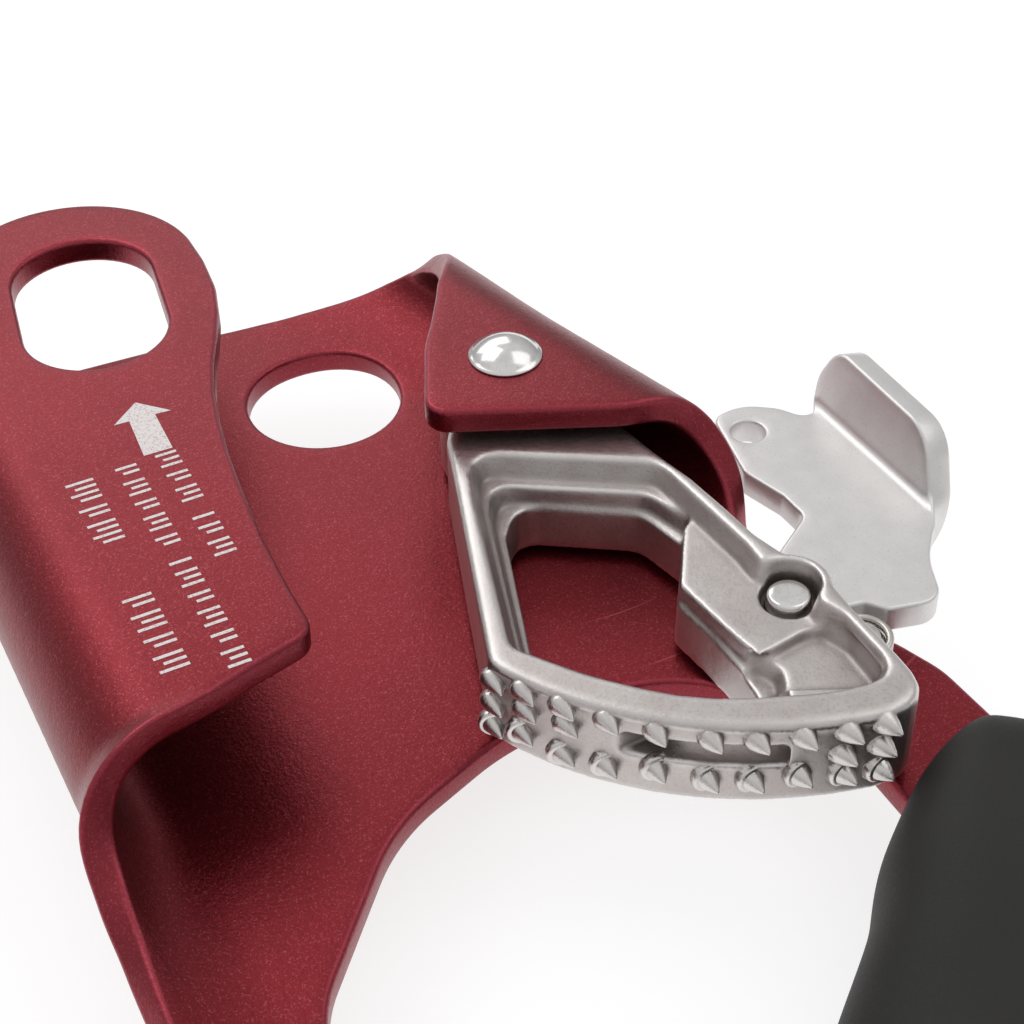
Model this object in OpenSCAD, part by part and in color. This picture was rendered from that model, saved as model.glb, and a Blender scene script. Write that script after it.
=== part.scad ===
// Handled rope ascender: bent plate frame, toothed swinging cam, thumb catch and moulded grip.
// Millimetres. The plate lies flat with its back face at z = 0, +Y points up the rope,
// +X points from the rope channel to the grip, and the origin is the main lower hole.

/* [View] */
// Which piece to build

/* [Frame plate] */
// Thickness of the plate
plate_t = 3.5; // [3:0.1:4]
// Clear gap between the two walls of the rope channel
channel_gap = 13.5; // [13:0.1:14.5]
// X of the line where the rope channel fold starts
fold_x = -8.25; // [-9:0.05:-7]
// Radius of the carabiner hole in the back wall
top_hole_r = 10.1; // [9:0.1:10.4]
// Half width of the carabiner slot in the front wall
slot_r = 9.35; // [8.5:0.05:9.6]
// Radius of the main lower hole
main_hole_r = 10; // [8:0.1:10.5]
// Radius of the foot loop hole
loop_hole_r = 6; // [4:0.1:7]

/* [Cam] */
// X of the cam rivet
rivet_x = 48; // [47:0.1:49]
// Y of the cam rivet
rivet_y = 150; // [149:0.1:151]
// Height of the cam's underside over the back of the plate
cam_z = 4.4; // [4.2:0.1:5]
// Depth of the cam
cam_depth = 11.4; // [10:0.1:11.6]
// Height of one tooth
tooth_h = 2; // [1:0.1:2.2]
// Radius of a tooth at its foot
tooth_r = 1.15; // [0.8:0.05:1.2]
// Radius of the rivet's shank
shank_r = 3; // [2.5:0.1:3.5]

/* [Catch] */
// Thickness of the catch lever
lever_t = 3.8; // [2.5:0.1:3.8]
// Height of the catch lever's back face
lever_z = 4.7; // [4.7:0.05:4.8]
// Height of the thumb tab over the lever
tab_h = 7.6; // [6:0.1:9]
// Radius of the catch pin
pin_r = 2.5; // [2.2:0.1:2.6]
// Outer radius of the catch spring
coil_r = 3.5; // [3:0.1:3.6]

/* [Grip] */
// Length of the grip along its slant
grip_len = 85; // [80:1:87]
// Depth of the grip from front to back
grip_depth = 25; // [22:0.5:28]
// Width of the grip across its widest swell
grip_w = 34; // [30:0.5:36]

/* [Hidden] */
$fn = 64;
inner_r = channel_gap / 2;
outer_r = inner_r + plate_t;
mid_z = plate_t + inner_r;
flap_z = plate_t + channel_gap;
front_z = flap_z + plate_t;
cam_top = cam_z + cam_depth;
pin_x = 59.5;
pin_y = 104.6;
pocket_z = cam_top - 2.8;
ledge_z = cam_top - 5.3;
row_z = [7.8, 13.9, 11.2];
rake = 1.4;
spring_z = lever_z + 1;
relief_z = lever_z + lever_t + 0.3;
lip = 3;
running = 0.06;
tab_t = 3.5;
hub_r = 8.3;
pivot_fold = [48.7, 165];
pivot_angle = -73.8;
grip_top = [69.8, 80.4];
grip_angle = 53.5;
coil_pos = [66.6, 99.8];
frame_red = [0.55, 0.16, 0.2];
cam_grey = [0.72, 0.69, 0.67];
bright = [0.84, 0.83, 0.82];
rubber = [0.13, 0.13, 0.12];

// Outlines are lists of [x, y, corner radius].
function unit(v) = v / norm(v);
function turn(a) = a > 180 ? a - 360 : a < -180 ? a + 360 : a;
function fillet(a, b, c, r, n) =
    let (u = unit(a - b), v = unit(c - b), half = acos(max(-1, min(1, u * v))) / 2)
    let (m = b + unit(u + v) * r / sin(half), s = b + u * r / tan(half) - m)
    let (e = b + v * r / tan(half) - m, a0 = atan2(s.y, s.x))
    let (da = turn(atan2(e.y, e.x) - a0))
    [for (i = [0:n]) m + r * [cos(a0 + da * i / n), sin(a0 + da * i / n)]];
function xy(p) = [p.x, p.y];
function rounded(p, n = 6) = [
    for (i = [0:len(p) - 1])
        let (a = xy(p[(i + len(p) - 1) % len(p)]), b = xy(p[i]), c = xy(p[(i + 1) % len(p)]))
            each (p[i][2] > 0 ? fillet(a, b, c, p[i][2], n) : [b])
];

module outline(p, n = 6) {
    polygon(rounded(p, n));
}

module slab(z0, z1) {
    translate([0, 0, z0]) linear_extrude(z1 - z0) children();
}

// Round-ended block along local Y, its first centre at the origin.
module slot(long, r, h) {
    cylinder(r = r, h = h);
    translate([0, long, 0]) cylinder(r = r, h = h);
    translate([-r, 0, 0]) cube([2 * r, long, h]);
}

// Half tube bend along local X. The side outline [along, z] trims its two ends.
module bend(side) {
    intersection() {
        translate([-60, 0, mid_z]) rotate([90, 0, 90]) linear_extrude(300) {
            difference() {
                circle(outer_r);
                circle(inner_r);
                translate([-2 * outer_r, -2 * outer_r]) square([2 * outer_r, 4 * outer_r]);
            }
            translate([-lip, -outer_r]) square([lip, plate_t]);
            translate([-lip, inner_r]) square([lip, plate_t]);
        }
        translate([0, outer_r + 1, 0]) rotate([90, 0, 0]) linear_extrude(outer_r + 3) polygon(side);
    }
}

// Flat back of the frame, with the hand opening left out.
module back_outline() {
    difference() {
        outline([
            [fold_x + 0.5, 196.5, 0], [fold_x + 0.5, 84, 20], [-18.4, 66, 20], [-19, -15.5, 14],
            [38, -15.5, 11], [40, 8, 12], [76, 70, 14], [74.6, 98, 12],
            [66, 113, 8], [61.2, 117, 0], [38.8, 193.6, 0], [25, 193.6, 0]
        ]);
        outline([
            [-6, 30, 12], [-6, 84, 16], [11, 103, 24], [28, 109.5, 30], [48, 109, 16],
            [59.6, 92, 12], [59.6, 78, 10], [26, 27, 12], [6, 22, 8]
        ]);
    }
}

// Front wall of the rope channel with its rounded carrying lobe.
module front_flap() {
    difference() {
        slab(flap_z, front_z) union() {
            translate([7.1, 192.4]) circle(16.4, $fn = 96);
            outline([
                [fold_x + 0.5, 110.7, 0], [9.3, 116.8, 3.5], [10, 140, 60], [16.4, 166.5, 50],
                [23.3, 180, 24], [23.4, 192, 0], [fold_x + 0.5, 192, 0]
            ]);
        }
        translate([5.5, 179.3, flap_z - 1]) rotate([0, 0, -10.9]) slot(11.1, slot_r, plate_t + 2);
    }
}

// Three-cornered flap that holds the front end of the cam rivet.
module pivot_flap() {
    slab(flap_z, front_z) outline([
        [47, 168.6, 0], [44.6, 165, 8], [39.6, 156.6, 20], [34.6, 144.4, 2.8],
        [57.6, 133.8, 0]
    ]);
}

module frame_plate() {
    color(frame_red) difference() {
        union() {
            slab(0, plate_t) back_outline();
            rotate([0, 0, 90]) translate([0, -fold_x, 0]) bend([
                [196.5, -1], [196.5, plate_t], [192, flap_z], [190, front_z + 1],
                [110.5, front_z + 1], [110.5, flap_z], [109, 12.5], [104, 10],
                [93, 8], [80, 5], [66, 3.5], [64, -1]
            ]);
            translate(pivot_fold) rotate([0, 0, pivot_angle]) bend([
                [-28, -1], [-28, plate_t], [-10, flap_z], [-5, front_z + 1],
                [31.6, front_z + 1], [33.6, flap_z], [36.2, 14], [39.6, 9],
                [43, plate_t], [43, -1]
            ]);
            front_flap();
            pivot_flap();
        }
        translate([33, 173.7, -1]) cylinder(r = top_hole_r, h = plate_t + 2);
        translate([0, 0, -1]) cylinder(r = main_hole_r, h = plate_t + 2);
        translate([26, -2.5, -1]) cylinder(r = loop_hole_r, h = plate_t + 2);
        translate([rivet_x, rivet_y, -1]) cylinder(r = shank_r, h = front_z + 2);
    }
}

// Oval moulding along the slanted side of the frame, waved for the fingers.
module grip_sleeve() {
    half = grip_w / 2;
    color(rubber) difference() {
        translate([grip_top.x, grip_top.y, plate_t / 2]) rotate([0, 0, grip_angle]) intersection() {
            translate([-grip_len, 0, 0]) rotate([90, 0, 90]) linear_extrude(grip_len)
                intersection() {
                    circle(half, $fn = 96);
                    translate([-half, -grip_depth / 2]) square([grip_w, grip_depth]);
                }
            translate([0, 0, -grip_depth]) linear_extrude(2 * grip_depth) outline([
                [0, -13, 9], [0.3, -1, 4], [-1.6, 4, 5], [-16, 10.9, 10], [-23, 11.3, 12],
                [-39, 16.2, 14], [-49, 12.8, 12], [-60, 15, 12], [-72, 12, 12], [-grip_len, 14, 8],
                [-grip_len, -11, 9], [-63, -13.5, 40], [-33, -15, 60]
            ]);
            translate([-grip_len / 2, 0, 0]) rotate([90, 0, 0]) translate([0, 0, -grip_w])
                linear_extrude(2 * grip_w) outline([
                    [-grip_len / 2, -grip_depth / 2, 9], [grip_len / 2, -grip_depth / 2, 9],
                    [grip_len / 2, grip_depth / 2, 9], [-grip_len / 2, grip_depth / 2, 9]
                ]);
        }
        slab(0, plate_t) back_outline();
    }
}

// Domed rivet that carries the cam, closed behind the plate.
module cam_rivet() {
    head_r = 4.5;
    dome_h = 2.2;
    dome_r = (head_r * head_r + dome_h * dome_h) / (2 * dome_h);
    color(bright) translate([rivet_x, rivet_y, 0]) {
        translate([0, 0, -1.4]) cylinder(r = shank_r, h = front_z + 1.4);
        translate([0, 0, -3]) cylinder(r = head_r, h = 1.6);
        translate([0, 0, front_z]) intersection() {
            translate([0, 0, dome_h - dome_r]) sphere(dome_r, $fn = 96);
            cylinder(r = head_r, h = dome_h + 1);
        }
    }
}

module rivet_washer() {
    color(bright) translate([rivet_x, rivet_y, -1.4]) difference() {
        cylinder(r = 6.5, h = 1.4);
        translate([0, 0, -1]) cylinder(r = shank_r, h = 4);
    }
}

module thrust_washer(z, h) {
    translate([rivet_x, rivet_y, z]) difference() {
        cylinder(r = 6, h = h);
        translate([0, 0, -1]) cylinder(r = shank_r, h = h + 2);
    }
}

// The two thin washers that centre the cam between the walls.
module cam_washers() {
    color([0.86, 0.85, 0.8]) {
        thrust_washer(plate_t, cam_z - plate_t - 0.1);
        thrust_washer(cam_top + 0.1, flap_z - cam_top - 0.1);
    }
}

module ring(major, minor) {
    rotate_extrude() translate([major, 0]) circle(minor, $fn = 16);
}

// Closing spring in the recess at the top of the cam, between the cam and the flap.
module cam_spring() {
    wire_r = 0.5;
    coil_mean = 4.3;
    color(bright) translate([rivet_x, rivet_y, cam_top - 4.5]) {
        for (i = [0:3]) translate([0, 0, i * 2 * wire_r]) ring(coil_mean, wire_r + 0.01);
        translate([coil_mean - 0.5, 0, 3]) cylinder(r = wire_r, h = 1.4);
    }
}

function face_radius(a) = 60.15 + 0.5286 * (a - 262) - 0.00317 * (a - 262) * (a - 262);
function face_point(a, out = 0) = [
    rivet_x + (face_radius(a) + out) * cos(a), rivet_y + (face_radius(a) + out) * sin(a)
];
function face_arc(a0, a1, n, out = 0) = [
    for (i = [0:n]) face_point(a0 + (a1 - a0) * i / n, out)
];

module cam_outline() {
    polygon(concat(
        [[37.2, 144.4], [26.5, 113.6], [24.6, 109.2]],
        face_arc(240.6, 278.8, 12),
        rounded([[60.9, 82.7, 0], [63.4, 84.5, 2.4], [63.3, 98, 0], [63.2, 104.6, 0]], 5),
        [[61.3, 109.5], [60.2, 118], [59.2, 125], [57.9, 131], [57, 137]],
        [[rivet_x + hub_r, rivet_y], [rivet_x - hub_r, rivet_y]]
    ));
    translate([rivet_x, rivet_y]) circle(hub_r);
    translate([pin_x, pin_y]) circle(4.3);
}

module cam_pocket() {
    outline([
        [35.4, 133.4, 0], [38.4, 140.6, 3], [57, 128.6, 4], [58.6, 110, 0],
        [57.6, 100.5, 0], [60.9, 99.6, 0], [61.2, 86, 3], [54, 87.8, 30],
        [41, 93.4, 30], [33, 102.2, 30], [27.8, 109.6, 2.5]
    ]);
}

module cam_ledge() {
    outline([
        [36.9, 133, 0], [39, 137.2, 3], [54.6, 127, 4], [56, 118.6, 0], [50.6, 112, 0],
        [51, 98, 0], [53, 90, 0], [41.8, 94.8, 30], [34.2, 103, 30], [29.4, 110, 2.5]
    ]);
}

module cam_window() {
    outline([
        [38.2, 130.6, 0], [41.6, 134.8, 3], [53.6, 126.8, 3.4], [55, 118.6, 0],
        [50.4, 112.4, 0], [50.6, 97, 0], [49.4, 92, 1.6], [42.6, 95.8, 16],
        [35.2, 103.6, 20], [31.6, 109.4, 0], [31.8, 113.4, 2.5]
    ]);
}

module tail_pocket() {
    outline([
        [50.2, 98.4, 2], [58.4, 100.2, 2], [60.4, 98.4, 1], [60.4, 87.2, 3], [50.2, 89.8, 2]
    ]);
}

// Pointed tooth, raked towards the pin on the left part of the face.
module tooth(a, z) {
    p = face_point(a, -0.5);
    translate([p.x, p.y, z]) rotate([0, 0, a + 6 + rake * max(0, 256 - a)]) rotate([0, 90, 0])
        cylinder(r1 = tooth_r + 0.25, r2 = 0.12, h = tooth_h + 0.5, $fn = 13);
}

// Two rows of teeth, with a short third row between them at both ends.
module teeth() {
    for (i = [0:9]) {
        a = 241.7 + 4 * i + sin(20 * i);
        tooth(a, row_z[0]);
        tooth(a, row_z[1]);
        if (i < 3 || i > 7) tooth(a, row_z[2]);
    }
}

// Slot along the middle of the toothed face, open into the window.
module face_slot() {
    a = 263.7;
    long = 14.7;
    p = face_point(a);
    translate([p.x, p.y, row_z[2]]) rotate([0, 0, a + 6.5]) rotate([0, 90, 0])
        translate([0, -long / 2, -7]) slot(long, 1.3, 10);
}

module cam() {
    color(cam_grey) difference() {
        union() {
            slab(cam_z, cam_top) cam_outline();
            teeth();
        }
        slab(pocket_z, cam_top + 1) cam_pocket();
        slab(ledge_z, pocket_z + 1) cam_ledge();
        slab(cam_z - 1, ledge_z + 1) cam_window();
        slab(pocket_z - 1.1, pocket_z + 1) tail_pocket();
        // room under the boss for the lever and its spring
        slab(cam_z - 1, relief_z) intersection() {
            translate([pin_x, pin_y]) circle(12.6);
            translate([52.8, 80]) square([20, 50]);
        }
        slab(cam_z - 1, relief_z) outline([[56, 112, 0], [70, 104, 0], [74, 124, 0], [57.2, 124, 0]]);
        translate([rivet_x, rivet_y, cam_z - 1]) cylinder(r = shank_r + running, h = cam_depth + 2);
        translate([rivet_x, rivet_y, cam_top - 5.2]) cylinder(r = 5.2, h = 6);
        translate([pin_x, pin_y, relief_z - 1]) cylinder(r = pin_r, h = 8);
        translate([pin_x, pin_y, pocket_z - 1.6]) cylinder(r = pin_r + 0.75, h = 8);
        face_slot();
    }
}

module catch_pin() {
    color(bright) translate([pin_x, pin_y, 0]) {
        translate([0, 0, lever_z - 0.1]) cylinder(r = pin_r, h = cam_top - 2.7 - lever_z);
        translate([0, 0, cam_top - 2.8]) cylinder(r1 = pin_r, r2 = pin_r - 0.5, h = 0.5);
    }
}

// Shallow head that keeps the lever on its pin.
module pin_clip() {
    color(bright) translate([pin_x, pin_y, lever_z - 1]) cylinder(r = 4, h = 0.9);
}

module lever_outline() {
    difference() {
        union() {
            outline([
                [72.3, 140.6, 2.5], [78.2, 140.8, 5], [83, 134.8, 3], [90.4, 139, 0],
                [90.4, 116, 0], [81.8, 108.6, 6], [77.6, 99.8, 3], [71, 101.6, 1.5],
                [69.2, 104, 0], [62, 106, 0], [56.4, 108.6, 0], [66.6, 116.2, 0],
                [71.8, 119.6, 1.8], [71.6, 124, 1.6], [69.9, 129.8, 1.5]
            ]);
            translate([pin_x, pin_y]) circle(5.2);
        }
        translate([pin_x, pin_y]) circle(pin_r + running);
        translate([74.6, 136.3]) circle(2.1);
    }
}

// Catch plate with its upright thumb tab and the ledge that carries the spring.
module catch_lever() {
    color(bright) {
        slab(lever_z, lever_z + lever_t) lever_outline();
        translate([90.4 - tab_t, 0, 0]) rotate([90, 0, 90]) linear_extrude(tab_t) outline([
            [116, lever_z, 0], [139, lever_z, 0], [138, lever_z + lever_t + tab_h, 5],
            [117.2, lever_z + lever_t + tab_h, 5]
        ]);
        slab(lever_z, spring_z) outline([
            [62.4, 100.4, 0], [64.6, 96.8, 2], [69, 96.4, 2.4], [72.6, 101, 0], [71, 105, 0],
            [64.6, 105, 0]
        ]);
    }
}

module spring_post() {
    color(bright) translate([coil_pos.x, coil_pos.y, spring_z]) cylinder(r = 1.9, h = 2.9);
}

module catch_spring() {
    wire_r = 0.55;
    color(bright) translate([coil_pos.x, coil_pos.y, spring_z + wire_r])
        for (i = [0:1]) translate([0, 0, i * 1.6]) ring(coil_r - wire_r, wire_r);
}

frame_plate();
grip_sleeve();
cam_rivet();
rivet_washer();
cam_washers();
cam_spring();
cam();
catch_pin();
pin_clip();
catch_lever();
spring_post();
catch_spring();
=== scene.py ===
import math

import bmesh
import bpy
import numpy as np
from mathutils import Matrix, Vector
from mathutils.geometry import delaunay_2d_cdt


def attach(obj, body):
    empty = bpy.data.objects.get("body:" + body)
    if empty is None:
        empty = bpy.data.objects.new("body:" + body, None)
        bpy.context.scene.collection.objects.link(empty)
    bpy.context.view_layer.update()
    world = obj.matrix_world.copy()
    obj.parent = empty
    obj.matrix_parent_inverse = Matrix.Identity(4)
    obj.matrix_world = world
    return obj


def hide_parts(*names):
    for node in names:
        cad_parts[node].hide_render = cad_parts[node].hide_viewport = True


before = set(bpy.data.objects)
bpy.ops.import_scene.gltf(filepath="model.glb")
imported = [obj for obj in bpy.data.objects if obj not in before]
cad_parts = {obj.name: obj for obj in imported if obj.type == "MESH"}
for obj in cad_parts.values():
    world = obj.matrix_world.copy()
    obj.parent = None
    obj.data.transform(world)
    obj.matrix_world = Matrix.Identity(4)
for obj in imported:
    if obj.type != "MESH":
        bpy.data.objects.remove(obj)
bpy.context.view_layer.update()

# Lengths below are millimetres in the part's own frame; MM turns them into metres.
MM = 0.001
PLATE_T = 3.5
FLAT_Z = PLATE_T / 2        # middle of the flat sheet
BEND_R = 8.5                # radius of the folds at the middle of the sheet
HALF_TURN = math.pi * BEND_R
FOLD_X = -8.25              # where the rope channel's fold starts
FRONT_Z = FLAT_Z + 2 * BEND_R + PLATE_T / 2     # outer face of the folded walls
LEAD = 13.0                 # how early the cam fold starts at its upper end
FOLD_ANGLE = math.radians(-73.8)
FOLD_O = np.array([48.7, 165.0])                # a point of the cam fold's line
FOLD_A = np.array([math.cos(FOLD_ANGLE), math.sin(FOLD_ANGLE)])
FOLD_W = np.array([-FOLD_A[1], FOLD_A[0]])      # across the line, outwards
RIVET = np.array([48.0, 150.0])                 # the cam's axis
RIVET_R = 3.0
PIN = np.array([59.5, 104.6])                   # the catch's axis
CAM_Z, CAM_TOP = 4.4, 15.8
RIM_Z, RIM_R = 14.75, 1.15                      # start and width of the cam rim's rounding
RELIEF_Z = 8.9                                  # underside of the boss, over the lever
LEVER_Z, LEVER_T = 4.9, 3.6
TAB_LINE = 84.0             # x where the thumb tab starts to rise, at the tab's middle
TAB_R = 3.4                 # radius of its bend at the middle of the sheet
TAB_ANGLE = math.radians(76)
COIL = np.array([66.6, 99.8])                   # axis of the catch's spring
GRIP_TOP = np.array([70.7, 81.6])
GRIP_ANGLE = math.radians(53.5)
GRIP_LEN = 86.5
MARKS_AT = np.array([17.0, 105.0])
FLOOR_Z, FLOOR_SIZE = -10.9, 40000.0


# ------------ mesh helpers

def polar(degrees):
    return np.array([math.cos(math.radians(degrees)), math.sin(math.radians(degrees))])


def fillet(a, b, c, r, step):
    """Points of the arc of radius r that rounds corner b."""
    u, v = a - b, c - b
    room = 0.49 * min(np.linalg.norm(u), np.linalg.norm(v))
    u, v = u / np.linalg.norm(u), v / np.linalg.norm(v)
    half = math.acos(max(-1, min(1, float(u @ v)))) / 2
    r = min(r, room * math.tan(half))
    m = b + (u + v) / np.linalg.norm(u + v) * r / math.sin(half)
    s, e = b + u * r / math.tan(half) - m, b + v * r / math.tan(half) - m
    a0 = math.atan2(s[1], s[0])
    da = (math.atan2(e[1], e[0]) - a0 + math.pi) % (2 * math.pi) - math.pi
    n = max(3, int(abs(da) * r / step) + 1)
    return [m + r * np.array([math.cos(a0 + da * i / n), math.sin(a0 + da * i / n)])
            for i in range(n + 1)]


def rounded(points, step=0.9):
    """Closed outline of [x, y, corner radius] rows, sampled every step or so."""
    p = [np.array(q[:2], float) for q in points]
    out = []
    for i, q in enumerate(points):
        if q[2] > 0:
            out += fillet(p[i - 1], p[i], p[(i + 1) % len(p)], q[2], step)
        else:
            out.append(p[i])
    return resample(np.array(out), step)


def resample(loop, step):
    """The same outline with its long edges split into pieces of about a step."""
    out = []
    for a, b in zip(loop, np.roll(loop, -1, 0)):
        d = np.linalg.norm(b - a)
        if d < 1e-6:
            continue
        n = max(1, int(round(d / step)))
        out += [a + (b - a) * k / n for k in range(n)]
    return np.array(out)


def area2(loop):
    """Twice the signed area, positive where the loop runs anticlockwise."""
    q = np.roll(loop, -1, 0)
    return float((loop[:, 0] * q[:, 1] - loop[:, 1] * q[:, 0]).sum())


def inward(loop):
    """Unit mitre normals to the left of each vertex, with their lengths."""
    d = np.roll(loop, -1, 0) - loop
    d /= np.linalg.norm(d, axis=1)[:, None]
    n = np.stack([-d[:, 1], d[:, 0]], 1)
    m = n + np.roll(n, 1, 0)
    m /= np.linalg.norm(m, axis=1)[:, None]
    c = (m * n).sum(1)
    return m / np.maximum(c, 0.5)[:, None]


def inside(pts, loop):
    """Which points lie inside a closed loop."""
    x, y = pts[:, 0], pts[:, 1]
    res = np.zeros(len(pts), bool)
    q = np.roll(loop, -1, 0)
    for (x0, y0), (x1, y1) in zip(loop, q):
        hit = (y0 > y) != (y1 > y)
        with np.errstate(divide="ignore", invalid="ignore"):
            res ^= hit & (x < (x1 - x0) * (y - y0) / (y1 - y0) + x0)
    return res


def near(pts, loop, dist):
    """Which points lie closer than dist to one of the loop's."""
    res = np.zeros(len(pts), bool)
    for k in range(0, len(pts), 2000):
        d = np.linalg.norm(pts[k:k + 2000, None] - loop[None], axis=2).min(1)
        res[k:k + 2000] = d < dist
    return res


def flat_points(outer, inset, grid):
    """Staggered points over the sheet, inside the first inset loop and outside its holes."""
    lo, hi = outer.min(0), outer.max(0)
    gx, gy = np.arange(lo[0], hi[0], grid), np.arange(lo[1], hi[1], grid * 0.866)
    g = np.array([(x + (grid / 2 if k % 2 else 0), y) for k, y in enumerate(gy) for x in gx])
    g = g[inside(g, inset[0])]
    for q in inset[1:]:
        g = g[~inside(g, q)]
    return g[~near(g, np.vstack(inset), grid * 0.62)]


def sheet_mesh(outer, holes, thick, edge_r, grid):
    """Sheet with rounded edges in its flat pattern: vertices (x, y, height from the middle), faces,
    and an edge value per vertex for paler edges, painted highlight and worn metal together: about 1
    on the rounding, .5 on the cut side and 0 on the flat faces."""
    loops = [outer if area2(outer) > 0 else outer[::-1]]
    loops += [h[::-1] if area2(h) > 0 else h for h in holes]
    mitres = [inward(q) for q in loops]
    # Edge paleness per rounding ring: painted highlight along the edges, together with worn metal.
    edge_highlight_and_wear = {90: 0.15, 68: 1, 45: 1, 22: 0.9, 0: 0.5}
    rings = [(edge_r * (1 - math.cos(math.radians(a))),
              thick / 2 - edge_r * (1 - math.sin(math.radians(a))), a) for a in edge_highlight_and_wear]
    rings += [(i, -h, a) for i, h, a in rings[::-1]]
    verts, faces, rim = [], [], []
    top, bottom = [], []
    base = 0
    for q, m in zip(loops, mitres):
        n = len(q)
        for back, h, a in rings:
            verts.append(np.c_[q + m * back, np.full(n, h)])
            rim.append(np.full(n, edge_highlight_and_wear[a]))
        i = np.arange(n)
        j = (i + 1) % n
        for k in range(len(rings) - 1):
            a, b = base + k * n, base + (k + 1) * n
            faces += np.stack([a + i, b + i, b + j, a + j], 1).tolist()
        top.append((base + i, q + m * edge_r))
        bottom.append(base + (len(rings) - 1) * n + i)
        base += n * len(rings)
    inset = [t[1] for t in top]
    g = flat_points(loops[0], inset, grid)
    pts = np.vstack(inset + [g])
    edges, start = [], 0
    for q in inset:
        n = len(q)
        edges += [(start + i, start + (i + 1) % n) for i in range(n)]
        start += n
    ov, _, of, origin, _, _ = delaunay_2d_cdt([Vector(p) for p in pts], edges, [], 0, 1e-5)
    ov = np.array([v[:] for v in ov])
    tri = np.array([f for f in of if len(f) == 3])
    mid = ov[tri].mean(1)
    keep = inside(mid, inset[0])
    for q in inset[1:]:
        keep &= ~inside(mid, q)
    tri = tri[keep]
    rim_ids_top = np.concatenate([t[0] for t in top])
    rim_ids_bot = np.concatenate(bottom)
    ng = len(g)
    verts.append(np.c_[g, np.full(ng, thick / 2)])
    verts.append(np.c_[g, np.full(ng, -thick / 2)])
    rim += [np.zeros(ng), np.zeros(ng)]
    top_id = np.concatenate([rim_ids_top, base + np.arange(ng)])
    bot_id = np.concatenate([rim_ids_bot, base + ng + np.arange(ng)])
    first = np.array([o[0] if o else -1 for o in origin])
    t = first[tri]
    assert (t >= 0).all()
    faces += top_id[t].tolist() + bot_id[t][:, ::-1].tolist()
    return np.vstack(verts), faces, np.concatenate(rim)


def new_mesh(name, verts, faces):
    """Mesh from vertices in millimetres."""
    me = bpy.data.meshes.new(name)
    me.from_pydata((np.asarray(verts) * MM).tolist(), [], [tuple(f) for f in faces])
    me.update()
    return me


def place(name, data):
    """New object in the scene's collection."""
    ob = bpy.data.objects.new(name, data)
    bpy.context.collection.objects.link(ob)
    return ob


def band(a, b, n):
    """Faces between two rings of n vertices, which start at a and at b."""
    return [(a + k, a + (k + 1) % n, b + (k + 1) % n, b + k) for k in range(n)]


def declare(ob, body, nodes):
    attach(ob, body)
    if nodes:
        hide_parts(*nodes)


def make(name, verts, faces, body, material, nodes=(), smooth=True, values=None):
    """Visible piece that rides a body and takes the place of the named nodes."""
    me = new_mesh(name, verts, faces)
    me.validate()
    ob = place(name, me)
    if values is not None:
        at = me.attributes.new("rim", "FLOAT", "POINT")
        at.data.foreach_set("value", np.asarray(values, np.float32))
    me.polygons.foreach_set("use_smooth", [smooth] * len(me.polygons))
    me.materials.append(material)
    me.update()
    declare(ob, body, nodes)
    return ob


def tidy_slivers(ob):
    """Removes faces without area, which would upset the smooth normals beside them."""
    bm = bmesh.new()
    bm.from_mesh(ob.data)
    bmesh.ops.dissolve_degenerate(bm, dist=0.02 * MM, edges=bm.edges)
    bm.to_mesh(ob.data)
    bm.free()


def lathe(profile, centre, n=64):
    """Closed solid turned from [r, z] rows, from the axis round to the axis."""
    verts, faces, rows = [], [], []
    for r, z in profile:
        if r < 1e-6:
            rows.append([len(verts)])
            verts.append((centre[0], centre[1], z))
        else:
            rows.append(list(range(len(verts), len(verts) + n)))
            verts += [(centre[0] + r * math.cos(2 * math.pi * k / n),
                       centre[1] + r * math.sin(2 * math.pi * k / n), z) for k in range(n)]
    closed = list(zip(rows, rows[1:]))
    if len(rows[0]) > 1:
        closed.append((rows[-1], rows[0]))
    for a, b in closed:
        for k in range(n):
            j = (k + 1) % n
            if len(a) == 1:
                faces.append((a[0], b[k], b[j]))
            elif len(b) == 1:
                faces.append((a[k], b[0], a[j]))
            else:
                faces.append((a[k], b[k], b[j], a[j]))
    return verts, faces


def arc_rows(r, z, rad, a0, a1, n=6):
    """Rows of an arc of radius rad about (r, z) in a lathe profile, angles in degrees."""
    return [(r + rad * math.cos(math.radians(a0 + (a1 - a0) * k / n)),
             z + rad * math.sin(math.radians(a0 + (a1 - a0) * k / n))) for k in range(n + 1)]


def tube(path, radius, n=14):
    """Round wire along a path of points, with domed ends."""
    path = [np.array(p, float) for p in path]
    t0 = path[1] - path[0]
    t0 /= np.linalg.norm(t0)
    side = np.cross(t0, [0.31, 0.42, 0.85])
    side /= np.linalg.norm(side)
    verts, faces = [], []
    rings = []
    for i, p in enumerate(path):
        a, b = path[max(i - 1, 0)], path[min(i + 1, len(path) - 1)]
        t = (b - a) / np.linalg.norm(b - a)
        side = side - t * (side @ t)
        side /= np.linalg.norm(side)
        up = np.cross(t, side)
        caps = [(radius, 0.0)]
        if i == 0:
            caps = [(radius * 0.55, -radius * 0.8), (radius * 0.87, -radius * 0.45), (radius, 0.0)]
        if i == len(path) - 1:
            caps = [(radius, 0.0), (radius * 0.87, radius * 0.45), (radius * 0.55, radius * 0.8)]
        for r, off in caps:
            rings.append(len(verts))
            verts += [p + t * off + r * (side * math.cos(2 * math.pi * k / n)
                                         + up * math.sin(2 * math.pi * k / n)) for k in range(n)]
    for a, b in zip(rings, rings[1:]):
        faces += band(a, b, n)
    faces.append(tuple(range(rings[0] + n - 1, rings[0] - 1, -1)))
    faces.append(tuple(range(rings[-1], rings[-1] + n)))
    return np.array(verts), faces


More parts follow.
